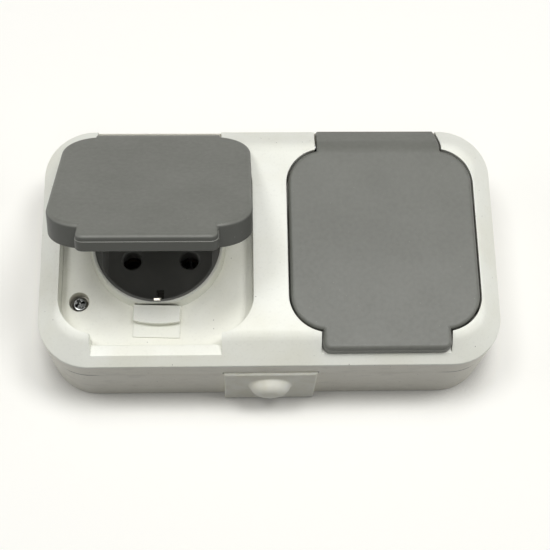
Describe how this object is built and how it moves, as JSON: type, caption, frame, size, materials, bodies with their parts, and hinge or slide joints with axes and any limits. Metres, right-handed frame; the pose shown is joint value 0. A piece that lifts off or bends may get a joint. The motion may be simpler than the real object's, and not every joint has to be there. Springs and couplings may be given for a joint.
{
  "type": "outdoor weatherproof socket",
  "caption": "Low rounded wall box with hinged lids over earthed plug recesses, a bevelled front cover and a domed cable entry plate.",
  "frame": {"origin": "centre of the back face that goes against the wall", "axes": "+Z out of the wall, +X along the box, +Y towards the lid hinges"},
  "size_m": [0.145, 0.0851, 0.0849],
  "materials": {
    "housing_plastic": "satin moulded",
    "lid_plastic": "satin moulded",
    "insert_plastic": "matte moulded",
    "entry_plastic": "soft matte",
    "seal_rubber": "matte",
    "zinc_steel": "zinc plated",
    "nickel_spring": "nickel plated",
    "terminal_brass": "plain"
  },
  "bodies": {
    "housing": {"base_box": "housing_plastic", "front_cover": "housing_plastic", "cable_entry_plate": "entry_plastic", "cover_gasket": "seal_rubber", "cover_screws": "zinc_steel", "insert_screws": "zinc_steel", "live_link": "terminal_brass", "neutral_link": "terminal_brass", "earth_link": "terminal_brass", "terminal_screws": "zinc_steel", "left_contact_carrier": "insert_plastic", "left_earth_clip": "nickel_spring", "left_live_contact": "terminal_brass", "left_neutral_contact": "terminal_brass", "left_hinge_pin": "zinc_steel", "left_socket_insert": "insert_plastic", "left_lid_catch": "housing_plastic", "right_contact_carrier": "insert_plastic", "right_earth_clip": "nickel_spring", "right_live_contact": "terminal_brass", "right_neutral_contact": "terminal_brass", "right_hinge_pin": "zinc_steel", "right_socket_insert": "insert_plastic", "right_lid_catch": "housing_plastic"},
    "left_lid_body": {"left_lid": "lid_plastic", "left_lid_seal": "seal_rubber"},
    "right_lid_body": {"right_lid": "lid_plastic", "right_lid_seal": "seal_rubber"}
  },
  "joints": [
    {"name": "left_lid_hinge", "type": "hinge", "parent": "housing", "child": "left_lid_body", "pos_m": [-0.0355, 0.033, 0.0358], "axis": [-1, 0, 0], "range_deg": [-40, 70]},
    {"name": "right_lid_hinge", "type": "hinge", "parent": "housing", "child": "right_lid_body", "pos_m": [0.0355, 0.033, 0.0358], "axis": [-1, 0, 0], "range_deg": [0, 110]}
  ]
}
